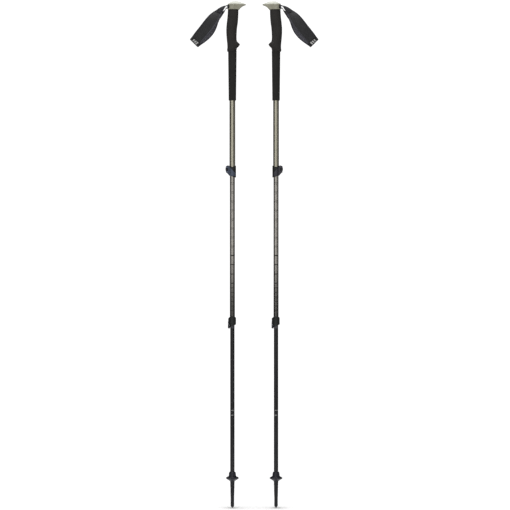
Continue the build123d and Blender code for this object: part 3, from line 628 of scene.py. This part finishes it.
class Strap:
    """The strap's closed loop, from the front of its pin, out along one leg and back."""

    def __init__(self):
        fall = math.radians(FALL)
        start = Vector((PIN_X + LINE_X, 0, PIN_Z + LINE_RISE))
        out = Vector((-math.cos(fall), 0, -math.sin(fall)))
        up = Vector((-math.sin(fall), 0, math.cos(fall)))
        side = Vector((0, 1, 0))
        stations = []
        for turn in (0, 30, 60):
            a = math.radians(turn)
            place = Vector((PIN_X + WEB_MID * math.cos(a), 0, PIN_Z + WEB_MID * math.sin(a)))
            stations.append((place, side, WEB_WIDTH, 0.0))
        for x in (PIN_X, PIN_X - 2.5, PIN_X - 5.0):
            stations.append((Vector((x, 0, PIN_Z + WEB_MID)), side, WEB_WIDTH, 0.0))
        folds = []
        for step in range(5):
            turn = math.pi * step / 4 - math.pi / 2
            far, off = FOLD_AT + FOLD_R * math.cos(turn), FOLD_R * math.sin(turn)
            folds.append((far, 0.0, off, 90.0, FOLD_W))
        for along, rise, off, twist, width in list(FRONT_LEG) + folds + list(reversed(BACK_LEG)):
            turn = math.radians(twist)
            place = start + out * along + up * rise + side * off
            stations.append((place, side * math.cos(turn) + up * math.sin(turn), width, along))
        for x in (PIN_X - 5.0, PIN_X - 2.5, PIN_X):
            stations.append((Vector((x, 0, PIN_Z - WEB_MID)), side, WEB_WIDTH, 0.0))
        for turn in (-60, -30, 0):
            a = math.radians(turn)
            place = Vector((PIN_X + WEB_MID * math.cos(a), 0, PIN_Z + WEB_MID * math.sin(a)))
            stations.append((place, side, WEB_WIDTH, 0.0))
        places = [0.0]
        for a, b in zip(stations, stations[1:]):
            places.append(places[-1] + (b[0] - a[0]).length)
        self.length = places[-1]
        self.line = Smooth(places, [s[0] for s in stations], closed=True)
        self.across = Smooth(places, [s[1] for s in stations], closed=True)
        self.width = Smooth(places, [s[2] for s in stations], closed=True)
        self.stations, self.places = stations, places

    def where(self, along):
        """Loop length at which the strap is this far out, on the front leg and on the back."""
        found = []
        pairs = list(zip(self.stations, self.stations[1:], self.places, self.places[1:]))
        for a, b, p, q in pairs:
            if a[3] < along <= b[3] or b[3] <= along < a[3]:
                t = (along - a[3]) / (b[3] - a[3])
                found.append(p + (q - p) * t)
        return found[0], found[-1]

    def frame(self, s):
        place = self.line.at(s)
        step = 0.25
        tangent = self.line.at(min(s + step, self.length)) - self.line.at(max(s - step, 0.0))
        tangent.normalize()
        across = self.across.at(s)
        across = (across - tangent * across.dot(tangent)).normalized()
        return place, across, across.cross(tangent), tangent

    def point(self, s, v, h):
        """A point v across the strap and h out from its middle, in metres."""
        place, across, normal, _ = self.frame(s)
        return (place + across * v + normal * h) * MM


strap = Strap()


def strap_sweep(side, name, finish, start, end, section, step=1.6):
    """Sweeps a ring of (v, h) points, given by section(s), along the strap's closed loop."""
    count = max(2, int((end - start) / step))
    rings, lengths = [], []
    for index in range(count + 1):
        s = start + (end - start) * index / count
        place, across, normal, _ = strap.frame(s % strap.length)
        ring = section(s % strap.length)
        rings.append([(place + across * v + normal * h) * MM for v, h in ring])
        lengths.append(s * MM)
    faces, uv = skin(rings, lengths)
    faces, uv = facing(side, faces, uv)
    points = set_in_place(side, [p for ring in rings for p in ring])
    return add_piece(name, points, faces, finish, f"{side}_strap", uv)


def ease(value):
    value = min(max(value, 0.0), 1.0)
    return value * value * (3 - 2 * value)


def flat_ring(half, low, high, crown=0.0, columns=12):
    """Cross-section of a flat band between two heights, with soft edges."""
    ring = []
    middle = (low + high) / 2
    edge = (high - low) / 2
    for i in range(columns + 1):
        v = -1 + 2 * i / columns
        ring.append((v * (half - edge * 0.6), high + crown * (1 - v * v)))
    ring.append((half, middle))
    for i in range(columns + 1):
        v = 1 - 2 * i / columns
        ring.append((v * (half - edge * 0.6), low))
    ring.append((-half, middle))
    return ring


BAND_T = 0.7            # half the band's thickness
RIM = {1: 2.4, -1: 4.6}  # width of the bound edge, upper and lower
LINING_MARGIN = 2.0     # from the band's edges to the lining


def build_strap(side):
    front, back = strap.where(9.5)[0], strap.where(17.0)[1]
    band_start, band_end = front - 1.0, back + 1.0

    def band(s):
        ends = min(s - band_start, band_end - s)
        shut = ease(ends / 5.0)
        half = strap.width.at(s) / 2 - 0.8 - 1.2 * (1 - shut)
        return flat_ring(half, -BAND_T * shut - 0.05, BAND_T * shut, 0.35 * shut)

    main = strap_sweep(side, f"{side}_strap_outer", "strap_fabric", band_start, band_end, band)
    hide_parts(f"{side}_strap_band")

    bound_start, bound_end = strap.where(24.0)[0], strap.where(27.0)[1]
    for edge, label in ((1, "upper"), (-1, "lower")):
        def rim(s, edge=edge, wide=RIM[edge]):
            grow = ease(min(s - bound_start, bound_end - s) / 6.0)
            half = strap.width.at(s) / 2
            thick = BAND_T + 0.12 + 0.3 * grow
            ring = [
                (half - wide, BAND_T - 0.25),
                (half - wide + 0.25, thick - 0.05),
                (half - wide * 0.6, thick + 0.12),
                (half - 1.0, thick + 0.1),
                (half - 0.25, thick * 0.62),
                (half, 0.0),
                (half - 0.25, -thick * 0.62),
                (half - 1.0, -thick - 0.1),
                (half - wide * 0.6, -thick - 0.12),
                (half - wide + 0.25, -thick + 0.05),
                (half - wide, -BAND_T + 0.25),
            ]
            if edge < 0:
                ring = [(-v, h) for v, h in reversed(ring)]
            return list(reversed(ring))

        # The lower edge wears the lighter binding: a painted highlight.
        look = "strap_binding" if edge > 0 else "strap_binding_painted_highlight"
        name = f"{side}_strap_binding_{label}"
        bound = strap_sweep(side, name, look, bound_start, bound_end, rim)

    lined_start, lined_end = strap.where(20.0)[0], strap.where(27.0)[1]

    def lining(s):
        shut = ease(min(s - lined_start, lined_end - s) / 6.0)
        half = strap.width.at(s) / 2 - LINING_MARGIN
        deep = 0.35 + 1.65 * shut
        ring = []
        columns = 14
        for i in range(columns + 1):
            v = -1 + 2 * i / columns
            ring.append((v * half, -BAND_T + 0.1))
        for i in range(columns + 1):
            v = 1 - 2 * i / columns
            puff = (1 - v ** 6) ** 0.5 if abs(v) < 1 else 0.0
            channel = 0.38 * math.exp(-((abs(v) - 0.36) * half / 0.7) ** 2)
            ring.append((v * half, -BAND_T - deep * puff * (1 - channel * shut)))
        return ring

    name = f"{side}_strap_padding"
    pad = strap_sweep(side, name, "strap_lining", lined_start, lined_end, lining, 1.2)
    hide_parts(f"{side}_strap_lining")

    patch_start, patch_end = strap.where(129.0)

    def patch(s):
        near = min(s - patch_start, patch_end - s)
        corner = 3.0
        half = strap.width.at(s) / 2 + 0.15
        if near < corner:
            half -= corner - math.sqrt(max(corner ** 2 - (corner - near) ** 2, 0.0))
        low, high = BAND_T + 0.1, BAND_T + 1.05
        ring = flat_ring(half, low, high, 0.1)
        wrap = 0.75
        return [(v, h - wrap * max(0.0, abs(v) / half - 0.93) / 0.07) for v, h in ring]

    name = f"{side}_strap_end_cap"
    end = strap_sweep(side, name, "strap_patch", patch_start, patch_end, patch, 0.5)
    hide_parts(f"{side}_strap_end_patch")

    reach = strap.where(34.0)[0]

    def webbing(s):
        over = ease((min(s, strap.length - s) - 15.0) / 10.0)
        last = min(s, strap.length - s) - (reach - 2.5)
        half = 10.0 - (0.8 * ease(last / 2.5) if last > 0 else 0.0)
        lift = over * 1.55
        return flat_ring(half, lift - 0.62, lift + 0.62, 0.0, 10)

    loop = strap_sweep(side, f"{side}_strap_tape", "strap_webbing", -reach, reach, webbing, 1.1)
    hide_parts(f"{side}_strap_webbing")

    build_stitches(side, reach, patch_start, patch_end, bound_start, bound_end)
    build_mark(side, patch_start)


def stitch(points, faces, centre, along, normal, length, radius=0.24):
    """One raised thread: six-sided, pointed at both ends."""
    across = along.cross(normal)
    base = len(points)
    points.append(centre - along * length / 2 - normal * radius * 0.6)
    for share in (-0.28, 0.28):
        for corner in range(6):
            turn = math.pi * corner / 3
            around = across * math.cos(turn) + normal * math.sin(turn)
            points.append(centre + along * length * share + around * radius)
    points.append(centre + along * length / 2 - normal * radius * 0.6)
    for corner in range(6):
        nxt = (corner + 1) % 6
        faces.append((base, base + 1 + corner, base + 1 + nxt))
        faces.append((base + 1 + corner, base + 7 + corner, base + 7 + nxt, base + 1 + nxt))
        faces.append((base + 13, base + 7 + nxt, base + 7 + corner))


def build_stitches(side, reach, patch_start, patch_end, bound_start, bound_end):
    points, faces = [], []

    def run(start, end, v_of, h, pitch=2.6):
        count = max(1, int((end - start) / pitch))
        for index in range(count):
            s = start + (end - start) * (index + 0.5) / count
            place, across, normal, tangent = strap.frame(s % strap.length)
            centre = place + across * v_of(s % strap.length) + normal * h
            stitch(points, faces, centre, tangent, normal if h > 0 else -normal, pitch * 0.76)

    def edge_line(edge, inset):
        """A line this far in from an edge of the strap."""
        return lambda s: edge * (strap.width.at(s) / 2 - inset)

    for edge in (1, -1):
        inside = edge_line(edge, RIM[edge] * 0.62)
        run(bound_start + 4, patch_start - 0.5, inside, BAND_T + 0.62)
        run(patch_end + 0.5, bound_end - 4, inside, BAND_T + 0.62)
        run(bound_start + 4, bound_end - 4, inside, -BAND_T - 0.62)
        run(patch_start + 1.2, patch_end - 1.2, edge_line(edge, 3.2), BAND_T + 1.1, 2.0)
    # box and cross that fix the tape's ends to the band
    far = strap.length - reach
    for start, end in ((reach - 12.0, reach - 1.6), (far + 1.6, far + 12.0)):
        for v in (-7.6, 7.6):
            run(start, end, lambda s, v=v: v, 1.55 + 0.7, 1.8)
        for lean in (1, -1):
            def slant(s, lean=lean, a=start, b=end):
                return lean * 7.0 * (2 * (s - a) / (b - a) - 1)

            run(start, end, slant, 2.27, 1.8)
        for place_at in (start, end):
            place, across, normal, tangent = strap.frame(place_at)
            for index in range(8):
                v = -7.0 + 2.0 * index
                stitch(points, faces, place + across * v + normal * 2.25, across, normal, 1.5)
    faces, _ = facing(side, faces)
    placed = set_in_place(side, [p * MM for p in points])
    name = f"{side}_strap_stitching"
    add_piece(name, placed, faces, "thread", f"{side}_strap")


def build_mark(side, patch_start):
    """A plain device of three slanted bars on the end patch."""
    points, faces = [], []
    rows = 5
    for bar in (-1, 0, 1):
        base = len(points)
        for row in range(rows + 1):
            s = patch_start + 2.4 + 7.6 * row / rows
            shift = 2.0 * (row / rows - 0.5)
            for v in (-1.9, 1.9):
                points.append(strap.point(s, bar * 6.0 + v + shift, BAND_T + 1.24))
        for row in range(rows):
            a = base + 2 * row
            faces.append((a, a + 1, a + 3, a + 2))
    faces, _ = facing(side, faces)
    placed = set_in_place(side, points)
    name = f"{side}_strap_mark"
    add_piece(name, placed, faces, "pale_print", f"{side}_strap")


# ------------------------------------------------------------------ printed scale
def print_on_tube(name, axis_x, radius, shapes, finish, body):
    """Printed shapes round a tube: left, right, low, high and slant, in mm of arc and height."""
    points, faces = [], []
    for left, right, low, high, slant in shapes:
        columns = max(1, int((right - left) / 0.7))
        base = len(points)
        for col in range(columns + 1):
            arc = left + (right - left) * col / columns
            for z, shift in ((low, -slant / 2), (high, slant / 2)):
                angle = (arc + shift) / radius - math.pi / 2
                x = axis_x / MM + radius * math.cos(angle)
                points.append(Vector((x, radius * math.sin(angle), z)) * MM)
        for col in range(columns):
            a = base + 2 * col
            faces.append((a, a + 2, a + 3, a + 1))
    return add_piece(name, points, faces, finish, body)


def print_number(text, axis_x, radius, z, height, finish, body):
    """A printed number wrapped on the tube."""
    curve = bpy.data.curves.new(f"digits_{text}", "FONT")
    curve.body = text
    curve.size = height
    curve.align_x = "CENTER"
    curve.align_y = "CENTER"
    curve.resolution_u = 3
    flat = bpy.data.objects.new("flat", curve)
    mesh = bpy.data.meshes.new_from_object(flat)
    bpy.data.objects.remove(flat)
    bpy.data.curves.remove(curve)
    points = []
    for v in mesh.vertices:
        angle = v.co.x / radius - math.pi / 2
        x = axis_x / MM + radius * math.cos(angle)
        points.append(Vector((x, radius * math.sin(angle), z + v.co.y)) * MM)
    faces = [tuple(p.vertices) for p in mesh.polygons]
    bpy.data.meshes.remove(mesh)
    side = "left" if axis_x < 0 else "right"
    name = f"{side}_scale_number_{text}"
    return add_piece(name, points, faces, finish, body, smooth=False)


PRINT_RISE = 0.05
MIDDLE_TUBE_R, LOWER_TUBE_R = 7.0, 6.0
SCALE_TOP, SCALE_STEP = 900.0, 25.0
NUMBER_HEIGHT = 4.2


def build_prints(side):
    axis_x = -POLE_X * SIDES[side]
    middle = MIDDLE_TUBE_R + PRINT_RISE
    lower = LOWER_TUBE_R + PRINT_RISE
    lines, blocks = [], []
    for index in range(9):
        z = SCALE_TOP - SCALE_STEP * index
        lines.append((-7.5, 7.5, z - 0.6, z + 0.6, 0.0))
    for z in (698.7, 673.8, 647.7, 622.2):
        blocks.append((-8.5, 8.5, z - 1.3, z + 1.3, 0.0))
    for index in range(6):
        z = 609.4 - 12.6 * index
        blocks.append((-8.5, 8.5, z - 1.0, z + 1.0, 0.0))
    body = f"{side}_middle_section"
    print_on_tube(f"{side}_scale_lines", axis_x, middle, lines, "dark_print", body)
    print_on_tube(f"{side}_scale_blocks", axis_x, middle, blocks, "dark_print", body)
    for index, value in enumerate((140, 135, 130, 125, 120, 115, 110, 105)):
        z = SCALE_TOP - SCALE_STEP * index - NUMBER_HEIGHT
        text = str(value)
        print_number(text, axis_x, middle, z, NUMBER_HEIGHT, "dark_print", body)
    bars = [(-4.2 + 3.0 * i, -2.4 + 3.0 * i, 256.0, 271.0, 2.2) for i in range(3)]
    body = f"{side}_lower_section"
    print_on_tube(f"{side}_tube_mark", axis_x, lower, bars, "pale_print", body)
    half = math.pi * LOWER_TUBE_R
    band = [(-half, half, 497.2, 504.6, 0.0)]
    print_on_tube(f"{side}_tube_band", axis_x, lower, band, "grey_print", body)


# ------------------------------------------------------------------ softened hard parts
def finish_of(node):
    """The finish a CAD part wears: its slot's own, but the right pole's lever wears a darker copy of
    the lever finish: painted shade.
    """
    return "upper_lever_painted_shade" if node == "right_upper_lever" else slots.get(node, "black_plastic")


SMOOTH_PASSES = 4
KEEP_SHARE = 0.35       # of the remeshed faces


def build_softened(node, finish, voxel):
    """A copy of a CAD part with its edges rounded over, as a moulding has."""
    source = frame["nodes"][node]
    mesh = source.data.copy()
    piece = bpy.data.objects.new(f"{node}_moulding", mesh)
    bpy.context.scene.collection.objects.link(piece)
    remesh = piece.modifiers.new("remesh", "REMESH")
    remesh.mode = "VOXEL"
    remesh.voxel_size = voxel * MM
    smooth = piece.modifiers.new("smooth", "SMOOTH")
    smooth.factor = 0.5
    smooth.iterations = SMOOTH_PASSES
    fewer = piece.modifiers.new("fewer", "DECIMATE")
    fewer.ratio = KEEP_SHARE
    bpy.context.view_layer.update()
    evaluated = piece.evaluated_get(bpy.context.evaluated_depsgraph_get())
    done = bpy.data.meshes.new_from_object(evaluated)
    piece.modifiers.clear()
    piece.data = done
    bpy.data.meshes.remove(mesh)
    done.materials.clear()
    done.materials.append(finishes[finish])
    done.polygons.foreach_set("use_smooth", [True] * len(done.polygons))
    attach(piece, source["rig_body"])
    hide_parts(node)


# Voxel size in mm for each part that is softened.
SOFTENED = {
    "grip_head": 0.42,
    "upper_clamp": 0.36,
    "lower_clamp": 0.36,
    "upper_lever": 0.32,
    "lower_lever": 0.32,
    "basket": 0.42,
}

slots = {}
for part in frame["record"]["subparts"]:
    slots[part["node"]] = part["material_slot"]

for node, obj in frame["nodes"].items():
    obj.data.materials.clear()
    obj.data.materials.append(finishes[finish_of(node)])

for side in SIDES:
    build_grip(side)
    build_extension(side)
    build_pad(side)
    build_strap(side)
    build_prints(side)
    for part, voxel in SOFTENED.items():
        node = f"{side}_{part}"
        build_softened(node, finish_of(node), voxel)


# ------------------------------------------------------------------ stage, light and camera
def area_light(name, place, aim, width, height, radiance):
    data = bpy.data.lights.new(name, "AREA")
    data.shape = "RECTANGLE"
    data.size, data.size_y = width, height
    data.energy = radiance * math.pi * width * height
    lamp = bpy.data.objects.new(name, data)
    bpy.context.scene.collection.objects.link(lamp)
    lamp.location = place
    direction = Vector(aim) - Vector(place)
    lamp.rotation_euler = direction.to_track_quat("-Z", "Y").to_euler()
    lamp.visible_camera = False


def build_floor():
    """A round pale floor that fades out into the white surroundings, with a painted contact shadow
    where the poles stand.
    """
    f = Finish("floor", roughness=0.9, specular=0.1)
    where = f.place()
    grain = f.noise(where, 300.0, 3.0)
    f.set("Base Color", f.blend(grain, (0.86, 0.86, 0.86, 1), (0.9, 0.9, 0.9, 1)))
    f.set("Emission Color", (1, 1, 1, 1))
    # The floor glows evenly, but ambient occlusion dims the glow near the poles: a painted contact
    # shadow.
    near = f.node("AmbientOcclusion", {"Distance": 0.12}, "AO", samples=12)
    painted_shadow_mask = f.math("POWER", near, 4.0)
    f.set("Emission Strength", f.math("MULTIPLY", painted_shadow_mask, 0.75))
    x, y, _ = axis_parts(f, where)
    squared = f.math("ADD", f.math("MULTIPLY", x, x), f.math("MULTIPLY", y, y))
    radius = f.math("SQRT", squared)
    clear = f.remap(radius, 0.32, 0.85)
    see_through = f.node("BsdfTransparent", {})
    mixed = f.node("MixShader", {0: clear, 1: f.shader.outputs[0], 2: see_through})
    f.tree.links.new(mixed, f.tree.nodes["Material Output"].inputs["Surface"])
    rings, count = 24, 96
    points, faces = [Vector((0, 0, 0))], []
    for ring in range(1, rings + 1):
        for index in range(count):
            angle = 2 * math.pi * index / count
            r = 0.9 * ring / rings
            points.append(Vector((r * math.cos(angle), r * math.sin(angle), 0)))
    for index in range(count):
        nxt = (index + 1) % count
        faces.append((0, 1 + index, 1 + nxt))
        for ring in range(rings - 1):
            a = 1 + ring * count
            faces.append((a + index, a + count + index, a + count + nxt, a + nxt))
    mesh = bpy.data.meshes.new("floor")
    mesh.from_pydata([tuple(p) for p in points], [], faces)
    floor = bpy.data.objects.new("floor", mesh)
    bpy.context.scene.collection.objects.link(floor)
    floor.location.z = -0.0005
    mesh.materials.append(f.material)


def build_surroundings():
    """White to the camera; a dim room with a white floor to everything else."""
    world = bpy.data.worlds.new("studio")
    bpy.context.scene.world = world
    world.use_nodes = True
    nodes, links = world.node_tree.nodes, world.node_tree.links
    backdrop = nodes["Background"]
    backdrop.inputs["Color"].default_value = (1, 1, 1, 1)
    backdrop.inputs["Strength"].default_value = 1.1
    room = nodes.new("ShaderNodeBackground")
    room.inputs["Color"].default_value = (1, 1, 1, 1)
    where = nodes.new("ShaderNodeTexCoord")
    parts = nodes.new("ShaderNodeSeparateXYZ")
    links.new(where.outputs["Generated"], parts.inputs[0])
    below = nodes.new("ShaderNodeMapRange")
    below.interpolation_type = "SMOOTHSTEP"
    links.new(parts.outputs["Z"], below.inputs["Value"])
    below.inputs["From Min"].default_value = -0.25
    below.inputs["From Max"].default_value = 0.02
    below.inputs["To Min"].default_value = 0.28
    below.inputs["To Max"].default_value = 0.06
    links.new(below.outputs[0], room.inputs["Strength"])
    path = nodes.new("ShaderNodeLightPath")
    choose = nodes.new("ShaderNodeMixShader")
    links.new(path.outputs["Is Camera Ray"], choose.inputs[0])
    links.new(room.outputs[0], choose.inputs[1])
    links.new(backdrop.outputs[0], choose.inputs[2])
    links.new(choose.outputs[0], nodes["World Output"].inputs["Surface"])


CAMERA_DISTANCE = 6.2
CAMERA_HEIGHT = 0.7004
CAMERA_X = 0.0022
VIEW_HEIGHT = 1.4136

camera_data = bpy.data.cameras.new("camera")
camera_data.sensor_width = 36.0
camera_data.lens = 36.0 * CAMERA_DISTANCE / VIEW_HEIGHT
camera_data.clip_end = 100.0
camera = bpy.data.objects.new("camera", camera_data)
bpy.context.scene.collection.objects.link(camera)
camera.location = (CAMERA_X, -CAMERA_DISTANCE, CAMERA_HEIGHT)
camera.rotation_euler = (math.radians(90), 0, 0)
bpy.context.scene.camera = camera

build_floor()
build_surroundings()
area_light("front_panel", (-0.55, -3.0, 1.6), (0, 0, 1.0), 4.6, 3.0, 1.0)
area_light("top_panel", (-0.1, -0.1, 3.2), (0, 0, 0.5), 1.2, 1.2, 7.0)
area_light("side_panel", (3.0, -1.4, 1.2), (0, 0, 1.0), 1.6, 2.4, 0.25)
bpy.context.scene.view_settings.view_transform = "Standard"
